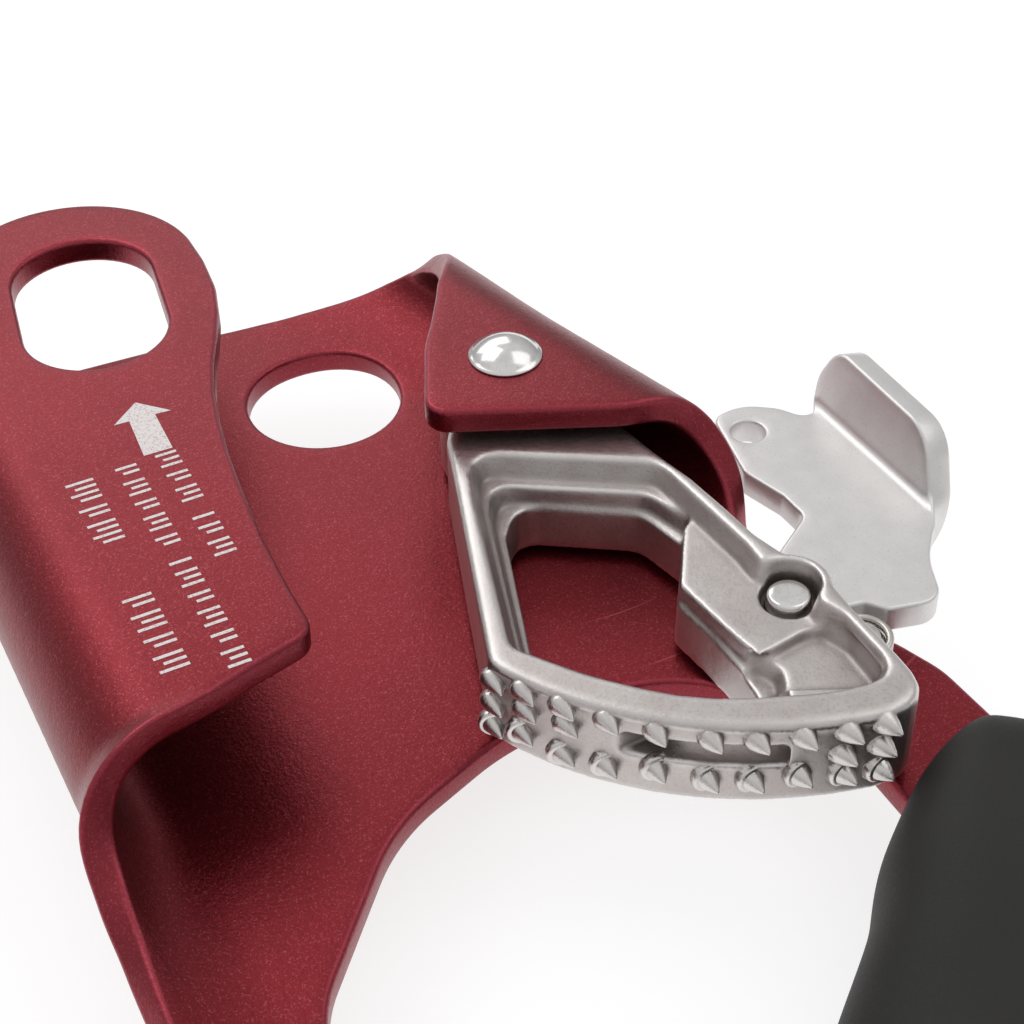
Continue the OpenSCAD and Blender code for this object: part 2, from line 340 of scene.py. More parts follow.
def smoothstep(x, a, b):
    """Rises smoothly from 0 at a to 1 at b."""
    t = np.clip((x - a) / (b - a), 0, 1)
    return t * t * (3 - 2 * t)


# --------------- materials

class Nodes:
    """Short way to write a material's nodes."""

    def __init__(self, name):
        self.m = bpy.data.materials.new(name)
        self.m.use_nodes = True
        self.t = self.m.node_tree
        self.t.nodes.clear()
        self.out = self.t.nodes.new("ShaderNodeOutputMaterial")
        self.b = self.t.nodes.new("ShaderNodeBsdfPrincipled")
        self.link(self.b.outputs[0], self.out.inputs[0])
        tc = self.t.nodes.new("ShaderNodeTexCoord")
        scale = self.t.nodes.new("ShaderNodeVectorMath")
        scale.operation = "SCALE"
        scale.inputs["Scale"].default_value = 1 / MM
        self.link(tc.outputs["Object"], scale.inputs[0])
        self.mm = scale.outputs[0]

    def link(self, a, b):
        self.t.links.new(a, b)

    def put(self, socket, v):
        if isinstance(v, (int, float)):
            socket.default_value = v
        elif isinstance(v, tuple):
            socket.default_value = v if len(v) == len(socket.default_value) else (*v, 1)
        else:
            self.link(v, socket)

    def noise(self, scale, detail=2.0, rough=0.5, stretch=None, w=0.0):
        """Noise per millimetre; stretch is a scale per axis and a turn, w picks a pattern."""
        n = self.t.nodes.new("ShaderNodeTexNoise")
        n.noise_dimensions = "4D"
        n.inputs["W"].default_value = w
        n.inputs["Scale"].default_value = scale
        n.inputs["Detail"].default_value = detail
        n.inputs["Roughness"].default_value = rough
        src = self.mm
        if stretch:
            mp = self.t.nodes.new("ShaderNodeMapping")
            mp.inputs["Scale"].default_value = stretch[:3]
            mp.inputs["Rotation"].default_value = (0, 0, stretch[3])
            self.link(src, mp.inputs[0])
            src = mp.outputs[0]
        self.link(src, n.inputs["Vector"])
        return n.outputs[0]

    def voronoi(self, scale):
        n = self.t.nodes.new("ShaderNodeTexVoronoi")
        n.inputs["Scale"].default_value = scale
        self.link(self.mm, n.inputs["Vector"])
        return n.outputs[0]

    def ramp(self, v, a, b, lo=0.0, hi=1.0):
        """Straight ramp from lo at a to hi at b, held outside."""
        n = self.t.nodes.new("ShaderNodeMapRange")
        n.inputs["From Min"].default_value = a
        n.inputs["From Max"].default_value = b
        n.inputs["To Min"].default_value = lo
        n.inputs["To Max"].default_value = hi
        self.link(v, n.inputs[0])
        return n.outputs[0]

    def math(self, op, a, b=0.0, c=0.0):
        n = self.t.nodes.new("ShaderNodeMath")
        n.operation = op
        for s, v in zip(n.inputs, (a, b, c)):
            self.put(s, v)
        return n.outputs[0]

    def mix(self, f, a, b):
        n = self.t.nodes.new("ShaderNodeMix")
        n.data_type = "RGBA"
        self.put(n.inputs["Factor"], f)
        self.put(n.inputs[6], a)
        self.put(n.inputs[7], b)
        return n.outputs[2]

    def attribute(self, name):
        n = self.t.nodes.new("ShaderNodeAttribute")
        n.attribute_name = name
        return n.outputs["Fac"]

    def bump(self, height, dist, strength=1.0, normal=None):
        n = self.t.nodes.new("ShaderNodeBump")
        n.inputs["Distance"].default_value = dist * MM
        n.inputs["Strength"].default_value = strength
        self.put(n.inputs["Height"], height)
        if normal is not None:
            self.link(normal, n.inputs["Normal"])
        return n.outputs[0]

    def set(self, **kw):
        names = {"color": "Base Color", "rough": "Roughness", "metal": "Metallic",
                 "normal": "Normal", "coat": "Coat Weight", "coat_rough": "Coat Roughness",
                 "spec": "Specular IOR Level"}
        for k, v in kw.items():
            self.put(self.b.inputs[names[k]], v)
        return self.m


def pale_arcs(n):
    """Faint paler arcs about the rivet on the back wall, beyond the rivet."""
    sep = n.t.nodes.new("ShaderNodeSeparateXYZ")
    n.link(n.mm, sep.inputs[0])
    x, y, z = sep.outputs
    dx, dy = n.math("SUBTRACT", x, RIVET[0]), n.math("SUBTRACT", y, RIVET[1])
    dist = n.math("SQRT", n.math("ADD", n.math("MULTIPLY", dx, dx), n.math("MULTIPLY", dy, dy)))
    marks = None
    for r, w in ((37.5, 0.22), (39.2, 0.12), (57.6, 0.25), (30.2, 0.12)):
        gap = n.math("ABSOLUTE", n.math("SUBTRACT", dist, r))
        line = n.ramp(gap, 0, w, 1, 0)
        marks = line if marks is None else n.math("MAXIMUM", marks, line)
    level = n.ramp(n.math("ABSOLUTE", n.math("SUBTRACT", z, PLATE_T)), 0, 0.3, 1, 0)
    patch = n.ramp(n.noise(0.11, 2.0, w=11.0), 0.50, 0.60)
    side = n.ramp(x, RIVET[0] - 8, RIVET[0] - 3)
    return n.math("MULTIPLY", n.math("MULTIPLY", marks, level), n.math("MULTIPLY", patch, side))


def red_material():
    """Anodised plate: fine sparkle grain, paler along the edges as painted highlight and worn
    metal.
    """
    n = Nodes("red_anodised")
    grain = n.noise(2.6, 3.0, 0.6)
    speck = n.noise(5.5, 1.0, 0.5, w=3.0)
    broad = n.noise(0.035, 3.0, 0.5, w=7.0)
    rim = n.attribute("rim")
    base = n.mix(n.ramp(broad, 0.35, 0.65), (0.182, 0.0090, 0.0148), (0.222, 0.0118, 0.0192))
    base = n.mix(n.ramp(speck, 0.56, 0.70, 0, 0.55), base, (0.42, 0.080, 0.105))
    base = n.mix(n.ramp(grain, 0.30, 0.48, 0.6, 0), base, (0.11, 0.005, 0.010))
    # Paler edges: painted highlight along the rounding and cut side, and worn metal.
    base = n.mix(n.math("MULTIPLY", rim, 0.38), base, (0.46, 0.070, 0.105))
    # Faint paler arcs about the rivet on the back wall.
    base = n.mix(n.math("MULTIPLY", pale_arcs(n), 0.6), base, (0.60, 0.13, 0.18))
    rough = n.ramp(grain, 0.3, 0.7, 0.30, 0.42)
    b1 = n.bump(grain, 0.075, 0.9)
    b2 = n.bump(n.noise(0.9, 2.0, 0.5, w=5.0), 0.12, 0.4, b1)
    return n.set(color=base, metal=0.90, rough=rough, normal=b2, coat=0.20, coat_rough=0.32)


def cast_material():
    """Cast steel, with painted shade in its corners, and paler where it stands proud: burnished,
    and painted highlight.
    """
    n = Nodes("cast_steel")
    cav = n.attribute("rim")
    grain = n.noise(3.2, 4.0, 0.62)
    broad = n.noise(0.22, 3.0, 0.55, w=2.0)
    base = n.mix(n.ramp(broad, 0.35, 0.65), (0.515, 0.470, 0.455), (0.585, 0.545, 0.528))
    base = n.mix(n.ramp(grain, 0.32, 0.5, 0.5, 0), base, (0.36, 0.32, 0.30))
    # Painted shade: darker in the corners and hollows.
    base = n.mix(n.ramp(cav, -0.05, -0.5, 0, 0.75), base, (0.22, 0.185, 0.17))
    # Paler where the cast stands proud: burnished metal, and painted highlight.
    base = n.mix(n.ramp(cav, 0.1, 0.6, 0, 0.7), base, (0.78, 0.755, 0.74))
    rough = n.math("ADD", n.ramp(grain, 0.3, 0.7, 0.34, 0.46), n.ramp(cav, 0.1, 0.6, 0, -0.1))
    b1 = n.bump(grain, 0.045, 0.7)
    b2 = n.bump(n.noise(0.9, 2.0, 0.5, w=9.0), 0.09, 0.4, b1)
    return n.set(color=base, metal=1.0, rough=rough, normal=b2)


def polished_material(name, tone, low, high, metal=1.0, haze_depth=0.84):
    """Bright metal of a roughness between low and high, with haze, fine scratches and pits."""
    n = Nodes(name)
    haze = n.noise(0.35, 3.0, 0.6, w=1.0)
    scratch = n.noise(1.6, 2.0, 0.6, stretch=(0.06, 2.2, 1.0, 0.5), w=4.0)
    pits = n.noise(4.5, 2.0, 0.5, w=6.0)
    dark = tuple(c * haze_depth for c in tone)
    base = n.mix(n.ramp(haze, 0.35, 0.65), dark, tone)
    base = n.mix(n.ramp(pits, 0.30, 0.40, 0.35, 0), base, tuple(c * 0.45 for c in tone))
    rough = n.math("ADD", n.ramp(haze, 0.3, 0.7, low, high), n.ramp(scratch, 0.55, 0.75, 0, 0.08))
    b1 = n.bump(scratch, 0.006, 0.6)
    b2 = n.bump(pits, 0.008, 0.5, b1)
    b3 = n.bump(n.noise(0.16, 1.0, w=8.0), 0.10, 0.3, b2)
    return n.set(color=base, metal=metal, rough=rough, normal=b3)


def rubber_material():
    n = Nodes("black_rubber")
    grain = n.noise(3.6, 3.0, 0.6)
    broad = n.noise(0.05, 3.0, 0.5, w=2.0)
    base = n.mix(n.ramp(broad, 0.3, 0.7), (0.0150, 0.0145, 0.0136), (0.0215, 0.0205, 0.0190))
    base = n.mix(n.ramp(grain, 0.55, 0.75, 0, 0.5), base, (0.040, 0.039, 0.037))
    rough = n.ramp(grain, 0.3, 0.7, 0.56, 0.70)
    b1 = n.bump(grain, 0.05, 0.7)
    b2 = n.bump(n.voronoi(1.5), 0.03, 0.25, b1)
    return n.set(color=base, metal=0.0, rough=rough, normal=b2, spec=0.32)


def nylon_material():
    n = Nodes("washer_nylon")
    grain = n.noise(3.0, 2.0)
    base = n.mix(n.ramp(grain, 0.3, 0.7), (0.60, 0.59, 0.54), (0.72, 0.71, 0.66))
    return n.set(color=base, metal=0.0, rough=n.ramp(grain, 0.3, 0.7, 0.45, 0.6),
                 normal=n.bump(grain, 0.02, 0.4))


def print_material():
    n = Nodes("print_white")
    grain = n.noise(3.4, 3.0, 0.6)
    base = n.mix(n.ramp(grain, 0.36, 0.50), (0.60, 0.42, 0.43), (0.80, 0.76, 0.75))
    return n.set(color=base, metal=0.0, rough=n.ramp(grain, 0.3, 0.7, 0.5, 0.65),
                 normal=n.bump(grain, 0.03, 0.5))


def floor_material():
    """Plain pale floor that glows a little, so it stays white around the soft shadow."""
    n = Nodes("floor_white")
    grain = n.noise(0.02, 2.0)
    base = n.mix(n.ramp(grain, 0.3, 0.7), (0.30, 0.30, 0.30), (0.32, 0.32, 0.32))
    em = n.t.nodes.new("ShaderNodeEmission")
    n.put(em.inputs["Color"], (1.0, 1.0, 1.0))
    em.inputs["Strength"].default_value = 0.78
    add = n.t.nodes.new("ShaderNodeAddShader")
    n.link(n.b.outputs[0], add.inputs[0])
    n.link(em.outputs[0], add.inputs[1])
    n.link(add.outputs[0], n.out.inputs[0])
    return n.set(color=base, rough=0.9)


RED = red_material()
CAST = cast_material()
POLISHED = polished_material("polished_steel", (0.80, 0.785, 0.77), 0.10, 0.20)
SATIN = polished_material("satin_steel", (0.77, 0.75, 0.74), 0.30, 0.35, 0.62, 0.95)
SPRING = polished_material("spring_steel", (0.62, 0.59, 0.55), 0.20, 0.32)
RUBBER = rubber_material()
NYLON = nylon_material()
PRINT = print_material()


# ------------- frame plate

def on_fold(along, s):
    """Flat pattern place at a distance along the cam fold's line and s outwards from it."""
    return FOLD_O + along * FOLD_A + s * FOLD_W


def fold_row(along, s, r):
    """The same as an outline row with a corner radius."""
    return [*on_fold(along, s), r]


def flap_x(x):
    """Flat pattern x of a point of the rope channel's front wall."""
    return FOLD_X - HALF_TURN - (x - FOLD_X)


def frame_outline():
    """Flat pattern of the plate, anticlockwise from the foot."""
    lobe_at, lobe_r = np.array([flap_x(7.1), 192.4]), 16.4
    lobe = [[*(lobe_at + lobe_r * polar(a)), 0] for a in range(22, 181, 3)]
    cam_side = [[72.5, 101.1, 8]]
    cam_side += [fold_row(*q) for q in [
        (57, 1.2, 10), (47.5, 3.4, 6), (42.8, 7.8, 6), (39.9, 12, 10), (36.4, 16.4, 10),
        (33.9, 20.5, 10), (32.4, 27, 18), (15.84, 45.98, 2.8), (5.8, 37.2, 20)]]
    top = [(2.4, 33.1), (-1.2, 29.1), (-5, 25.2), (-9, 21.6), (-13, 18.5), (-16.5, 16),
           (-19.6, 12.9), (-22.4, 9), (-24.3, 5.8), (-26, 3), (-27.6, 0.4), (-29.2, -2.4),
           (-30.6, -5.2), (-32, -7.9), (-33.2, -10.6)]
    cam_side += [fold_row(*q, 12) for q in top]
    edge = [(23.4, 187.5), (22.6, 181), (21, 175.6), (18.9, 170.6), (16.6, 165.6), (14.7, 160.4),
            (13.2, 154.8), (12, 149), (11.1, 143), (9.9, 133), (9.4, 124)]
    channel = [[flap_x(x), y, 12] for x, y in edge]
    channel += [[flap_x(9.3), 117, 2.8], [flap_x(1.3), 115, 20], [flap_x(-7), 112.4, 30],
                [-28.5, 110.2, 12], [-22.6, 107, 9], [-20.8, 98, 20], [-19.9, 84, 30],
                [-19.6, 66, 30]]
    outer = [[-19.2, -15.5, 14], [38, -15.5, 11], [40, 8, 12], [76, 70, 14], [74.6, 95, 12]]
    outer += cam_side
    outer += [[24, 194.5, 60], [FOLD_X, 196.3, 60], [-22, 195.6, 30], [-32.8, 193.9, 2]]
    return outer + lobe + channel


def bend_channel(x, y, h):
    """Channel fold, which unrolls below the front wall: the points it moves, their x and z."""
    s = FOLD_X - x
    t = np.clip((y - 52) / (114 - 52), 0, 1)
    bend = t ** 1.7 * (1 - smoothstep(y, 108, 120)) + smoothstep(y, 108, 120)
    k = np.maximum(bend, 1e-4) / BEND_R
    phi = np.minimum(s * k, math.pi)
    past = np.maximum(s - phi / k, 0)
    cx = FOLD_X - np.sin(phi) / k + past
    cz = FLAT_Z + (1 - np.cos(phi)) / k
    return s > 0, cx + h * np.sin(phi), cz + h * np.cos(phi)


def ellipse_angle(share, wide, high):
    """Angle at a share of the length of a quarter ellipse, for arrays of ellipses."""
    grid = np.linspace(0, math.pi / 2, 33)
    half_cell = 0.0245
    step = np.sqrt((wide[:, None] * np.cos(grid[1:] - half_cell)) ** 2
                   + (high[:, None] * np.sin(grid[1:] - half_cell)) ** 2) * (grid[1] - grid[0])
    arc = np.c_[np.zeros(len(wide)), np.cumsum(step, 1)]
    go = share * arc[:, -1]
    cell = np.clip((arc <= go[:, None]).sum(1) - 1, 0, 31)
    row = np.arange(len(wide))
    part = (go - arc[row, cell]) / (arc[row, cell + 1] - arc[row, cell])
    return grid[cell] + part * (grid[1] - grid[0])


def bend_cam_side(x, y, h):
    """Cam fold: the points it moves, their places in plan and z. Its upper end rises gently, on an
    ellipse that starts early and then a circle, and it is flat below its trimmed end."""
    d = np.c_[x, y] - FOLD_O
    along, s = d @ FOLD_A, d @ FOLD_W
    lead = LEAD * (1 - smoothstep(along, -34, 16))
    r = BEND_R / np.maximum(1 - smoothstep(along, 41, 53), 1e-4)
    quarter = r * math.pi / 2
    bulge = 1.3 * (1 - smoothstep(along, -14, 12))
    on = (s > -lead) & (x > 12) & (along < 70) & (y > 90)
    th = ellipse_angle(np.clip((s + lead) / (quarter + lead), 0, 1), r + lead, r)
    cs, cz = -lead + (r + lead + bulge) * np.sin(th), FLAT_Z + r * (1 - np.cos(th))
    nx, nz = -r * np.sin(th), (r + lead) * np.cos(th)
    far = s > quarter
    phi = np.minimum(s / r, math.pi)
    past = np.maximum(s - phi * r, 0)
    cs = np.where(far, np.sin(phi) * (r + bulge) - past, cs)
    cz = np.where(far, FLAT_Z + (1 - np.cos(phi)) * r, cz)
    nx, nz = np.where(far, -np.sin(phi), nx), np.where(far, np.cos(phi), nz)
    size = np.hypot(nx, nz)
    cs, cz = cs + h * nx / size, cz + h * nz / size
    return on, FOLD_O + along[:, None] * FOLD_A + cs[:, None] * FOLD_W, cz


def frame_bend(v):
    """Places flat pattern points on the folded frame."""
    x, y, h = v.T
    out = np.c_[x, y, FLAT_Z + h]
    on, cx, cz = bend_channel(x, y, h)
    out[on, 0], out[on, 2] = cx[on], cz[on]
    on, plan, cz = bend_cam_side(x, y, h)
    out[on, :2], out[on, 2] = plan[on], cz[on]
    return out


def circle_loop(c, r, step=0.9):
    n = int(2 * math.pi * r / step)
    return np.array([[c[0] + r * math.cos(2 * math.pi * k / n),
                      c[1] + r * math.sin(2 * math.pi * k / n)] for k in range(n)])


def slot_loop(a, b, r, step=0.9):
    """Outline round two equal circles."""
    a, b = np.array(a, float), np.array(b, float)
    t = math.atan2(*(b - a)[::-1])
    loop = [a + r * np.array([math.cos(t + g), math.sin(t + g)])
            for g in np.linspace(math.pi / 2, 3 * math.pi / 2, 36)]
    loop += [b + r * np.array([math.cos(t + g), math.sin(t + g)])
             for g in np.linspace(-math.pi / 2, math.pi / 2, 36)]
    return resample(np.array(loop), step)


HAND_OPENING = [
    [-6, 30, 12], [-6, 84, 16], [11, 103, 24], [28, 109.5, 30], [48, 109, 16],
    [59.6, 92, 12], [59.6, 78, 10], [26, 27, 12], [6, 22, 8]]


def build_frame():
    main_hole, loop_hole = circle_loop((0, 0), 10), circle_loop((26, -2.5), 6)
    top_hole, rivet_hole = circle_loop((33, 173.7), 10), circle_loop(RIVET, RIVET_R + 0.02, 0.5)
    carry_slot = slot_loop((flap_x(8.1), 190.4), (flap_x(6.3), 179.6), 8.9)
    holes = [rounded(HAND_OPENING), top_hole, main_hole, loop_hole, carry_slot, rivet_hole]
    v, f, rim = sheet_mesh(rounded(frame_outline()), holes, PLATE_T, edge_r=0.7, grid=1.25)
    tidy_slivers(make("frame_sheet", frame_bend(v), f, "frame", RED,
                      ["frame_plate"], values=rim))


# --------------------- cam

def rows_loop(rows):
    """Outline rows with a fixed number of points at every corner, so two of them can be lofted."""
    p = [np.array(q[:2], float) for q in rows]
    out = []
    for i, q in enumerate(rows):
        if q[2] > 0:
            out += fillet(p[i - 1], p[i], p[(i + 1) % len(p)], q[2], 100)[:4]
        else:
            out.append(p[i])
    out = np.array(out)
    return out[::-1] if area2(out) < 0 else out


def stack(layers):
    """Closed solid through loops of equal length, given as (loop, z) from the bottom up."""
    n = len(layers[0][0])
    verts = [(x, y, z) for loop, z in layers for x, y in loop]
    faces = [tuple(range(n - 1, -1, -1)), tuple(range(len(verts) - n, len(verts)))]
    for k in range(len(layers) - 1):
        faces += band(k * n, (k + 1) * n, n)
    return new_mesh("solid", verts, faces)


def combine(ob, mesh, op):
    """Boolean of a solid mesh with an object, keeping the result."""
    tool = place("tool", mesh)
    bo = ob.modifiers.new("bool", "BOOLEAN")
    bo.operation, bo.solver, bo.object = op, "MANIFOLD", tool
    apply_modifiers(ob)
    bpy.data.objects.remove(tool)


def cut(ob, *layers):
    """Takes a lofted solid out of an object, as stack() does."""
    combine(ob, stack(layers), "DIFFERENCE")


def drill(ob, c, r, z0, z1, r1=None):
    """Takes out a round hole, or a cone that widens to r1."""
    sides = 48
    loop = circle_loop(c, 1.0, 2 * math.pi / sides) - np.array(c)
    cut(ob, (loop * r + c, z0), (loop * (r1 or r) + c, z1))


def face_point(a, out=0.0):
    """Point of the toothed face, a spiral about the rivet, at an angle in degrees."""
    r = 60.15 + 0.5286 * (a - 262) - 0.00317 * (a - 262) ** 2 + out
    return RIVET + r * polar(a)


def cam_outline(recess):
    """Side outline of the cam; the toothed face lies back by recess."""
    hub = [RIVET + 8.3 * polar(a) for a in np.linspace(-5, 190, 26)]
    left = [[37.2, 144.4], [31.9, 129.2], [26.5, 113.6], [25.4, 110.4], [24.9, 108.9]]
    face = [face_point(a, -recess) for a in range(242, 279)]
    tail = [[60.0, 83.2], [61.6, 84.0], [62.7, 85.3], [63.2, 87.1], [63.3, 90], [63.2, 98]]
    boss = [PIN + 4.7 * polar(a) for a in range(-35, 66, 10)]
    right = [[60.4, 113], [60.0, 118], [59.2, 125], [57.9, 131], [57, 137]]
    return np.vstack([hub, left, face, tail, boss, right])


POCKET = [
    [35.2, 133.0, 0], [38.4, 140.8, 3], [57.2, 128.8, 4], [58.6, 112, 2], [58.4, 108.6, 0.6],
    [61.0, 107.9, 0.8], [62.7, 104.6, 2], [60.6, 100.4, 0.6], [61.7, 97.4, 1.2], [61.7, 87.0, 3],
    [53.8, 88.4, 20], [41, 93.8, 30], [33, 102.4, 30], [27.9, 109.8, 2.4]]
TAIL = [
    [50.6, 98.9, 1.5], [58.1, 100.0, 1.2], [60.6, 99.4, 1.2], [61.9, 95.6, 2], [61.6, 88.3, 2.4],
    [57.6, 89.6, 8], [47.6, 94.4, 2.5]]
SCOOP = [
    [44, 99.5, 2], [52.6, 100.6, 2.4], [54.2, 96.6, 2.4], [52.4, 92.6, 2], [44, 96, 2]]
SHELF = [
    [36.9, 133, 0], [39, 137.4, 3], [54.8, 127.2, 4], [57, 120.9, 0.6], [55.6, 120.4, 0.6],
    [50.2, 112.1, 0.6], [50.9, 105, 3], [51.9, 98.4, 0.6], [52.2, 94.6, 0.6], [51.6, 91.4, 0.6],
    [48.2, 92.6, 10], [41.8, 95.2, 20], [34.4, 103.2, 20], [29.6, 110.2, 2.4]]
WINDOW = [
    [38.2, 130.6, 0], [41.6, 134.8, 3], [53.6, 126.8, 3.4], [55.2, 119.4, 0.6], [54.2, 118.6, 0.6],
    [49.4, 111.6, 0.6], [50.1, 105, 3], [50.3, 98.4, 0.6], [50, 95.6, 0.6], [49.2, 93.8, 0.6],
    [47.4, 94.2, 6], [42.6, 96.4, 12], [35.4, 104.2, 12], [31.6, 111.4, 2.4]]


def cam_blank():
    """Solid cam: its toothed face lies back under the rim, whose top edge is rounded."""
    base, lip = cam_outline(0.35), cam_outline(0.0)
    n = inward(lip)
    layers = [(base, CAM_Z + 0.01), (base, RIM_Z - 0.2), (lip, RIM_Z)]
    for k in range(1, 5):
        a = math.radians(90 * k / 4)
        layers.append((lip + n * RIM_R * (1 - math.cos(a)),
                       RIM_Z + (CAM_TOP - RIM_Z) * math.sin(a)))
    return place("cam_casting", stack(layers))


def cut_pockets(ob):
    """Pocket with a sloping wall, shelf, window, hollow tail and the scoop that joins them."""
    pocket, shelf, window = rows_loop(POCKET), rows_loop(SHELF), rows_loop(WINDOW)
    tail, scoop = rows_loop(TAIL), rows_loop(SCOOP)
    cut(ob, (pocket + inward(pocket) * 1.1, 13.0), (pocket, CAM_TOP - 0.2),
        (pocket - inward(pocket) * 0.6, CAM_TOP + 1))
    cut(ob, (window * 0.35 + shelf * 0.65, 10.5), (shelf, 13.4))
    cut(ob, (window, CAM_Z - 1), (window + inward(window) * -0.15, 10.9))
    cut(ob, (tail + inward(tail) * 0.9, 11.8), (tail, 14.4))
    cut(ob, (scoop + inward(scoop) * 1.4, 9.9), (scoop, 12.6))


def cut_relief(ob):
    """Room under the boss for the lever and its spring."""
    ring = circle_loop(PIN, 12.6, 1.3)
    ring[:, 0] = np.maximum(ring[:, 0], 52.8)
    side = rows_loop([[56, 112, 0], [70, 104, 0], [74, 124, 0], [57.2, 124, 0]])
    for room in (ring, side):
        cut(ob, (room, CAM_Z - 1), (room, RELIEF_Z))


def cut_bores(ob):
    """Bearing, spring recess, and the pin's bore with its counterbore."""
    drill(ob, RIVET, RIVET_R + 0.06, CAM_Z - 1, CAM_TOP + 1)
    drill(ob, RIVET, 5.2, CAM_TOP - 5.2, CAM_TOP + 1)
    drill(ob, PIN, 3.1, 11.6, CAM_TOP + 1, 3.5)
    drill(ob, PIN, 2.52, CAM_Z - 1, CAM_TOP + 1)


def cut_face_slot(ob):
    """Slot with round ends along the toothed face, which lets dirt out."""
    at, turn, half_length, half_height, mid_z = 263.7, 6.5, 7.2, 1.35, 11.15
    ax = polar(at + turn)
    u = np.array([-ax[1], ax[0]])
    ring = []
    for end, a0 in ((half_length, -math.pi / 2), (-half_length, math.pi / 2)):
        ring += [(end + half_height * math.cos(g), half_height * math.sin(g))
                 for g in np.linspace(a0, a0 + math.pi, 12)]
    n = len(ring)
    verts = [(*(face_point(at) + ax * depth + u * w), mid_z + z)
             for depth in (-7.0, 3.0) for w, z in ring]
    faces = [tuple(range(n - 1, -1, -1)), tuple(range(n, 2 * n))] + band(0, n, n)
    me = new_mesh("slot", verts, faces)
    fix_normals(me)
    combine(ob, me, "DIFFERENCE")


def fix_normals(me):
    bm = bmesh.new()
    bm.from_mesh(me)
    bmesh.ops.recalc_face_normals(bm, faces=bm.faces)
    bm.to_mesh(me)
    bm.free()


def build_cam():
    """Cam with every edge rounded as a casting's: remeshed finely, relaxed, then toothed."""
    ob = cam_blank()
    cut_pockets(ob)
    cut_relief(ob)
    cut_bores(ob)
    cut_face_slot(ob)
    rm = ob.modifiers.new("remesh", "REMESH")
    rm.mode, rm.voxel_size, rm.adaptivity = "VOXEL", 0.26 * MM, 0
    apply_modifiers(ob)
    relax(ob.data, 12)
    combine(ob, cone_teeth(), "UNION")
    me = ob.data
    curvature(me)
    me.materials.clear()
    me.materials.append(CAST)
    me.polygons.foreach_set("use_smooth", [True] * len(me.polygons))
    declare(ob, "cam", ["cam"])


def apply_modifiers(ob):
    dg = bpy.context.evaluated_depsgraph_get()
    me = bpy.data.meshes.new_from_object(ob.evaluated_get(dg))
    ob.modifiers.clear()
    old = ob.data
    ob.data = me
    bpy.data.meshes.remove(old)


def mesh_arrays(me):
    v = np.empty(len(me.vertices) * 3, np.float32)
    me.vertices.foreach_get("co", v)
    e = np.empty(len(me.edges) * 2, np.int32)
    me.edges.foreach_get("vertices", e)
    return v.reshape(-1, 3).astype(float), e.reshape(-1, 2)


def neighbour_mean(v, e, n):
    """Mean of each vertex's neighbours along the edges."""
    acc = np.zeros((n, 3))
    cnt = np.zeros(n)
    for a, b in ((0, 1), (1, 0)):
        for c in range(3):
            acc[:, c] += np.bincount(e[:, a], v[e[:, b], c], n)
        cnt += np.bincount(e[:, a], minlength=n)
    return acc / np.maximum(cnt, 1)[:, None]


def relax(me, rounds):
    """Smooths the mesh, with a small push back each round that keeps its volume."""
    v, e = mesh_arrays(me)
    for _ in range(rounds):
        v += 0.6 * (neighbour_mean(v, e, len(v)) - v)
        v -= 0.22 * (neighbour_mean(v, e, len(v)) - v)
    me.vertices.foreach_set("co", v.ravel().astype(np.float32))
    me.update()


def curvature(me):
    """Stores how far each vertex stands proud (+) or lies in a corner (-), smoothed."""
    v, e = mesh_arrays(me)
    n = np.empty(len(v) * 3, np.float32)
    me.vertices.foreach_get("normal", n)
    n = n.reshape(-1, 3)
    u = v.copy()
    for _ in range(14):
        u += 0.7 * (neighbour_mean(u, e, len(u)) - u)
    c = ((v - u) * n).sum(1) / MM * 4
    w = np.c_[c, c, c]
    for _ in range(2):
        w = 0.5 * w + 0.5 * neighbour_mean(w, e, len(w))
    at = me.attributes.new("rim", "FLOAT", "POINT")
    at.data.foreach_set("value", np.clip(w[:, 0], -1, 1).astype(np.float32))


# angle about the rivet in degrees, and height, of each tooth
TEETH = [
    (241.3, 13.1), (241.2, 9.75), (241.2, 6.5), (245, 13.9), (245.2, 11.3), (244.8, 7.7),
    (249.2, 14.0), (249.6, 11.6), (249.3, 7.0), (253.7, 13.95), (253.7, 7.35), (258.3, 13.85),
    (258.4, 8.4), (263.1, 13.7), (263, 7.8), (267, 13.7), (266.8, 7.9), (270.9, 13.96),
    (270.8, 8.4), (274.7, 14.0), (274.4, 10.8), (274.6, 7.9), (277.9, 14.2), (277.7, 11.1),
    (277.8, 7.5)]


# radius and height of each ring of a tooth and of its collar
CONE = [(1.38, -0.9), (1.38, -0.32), (1.30, -0.05), (1.12, 0.35), (0.86, 0.85), (0.55, 1.35),
        (0.26, 1.78), (0.14, 1.94)]
COLLAR = [(1.72, -0.9), (1.72, -0.2), (1.62, 0.06), (1.45, 0.1)]


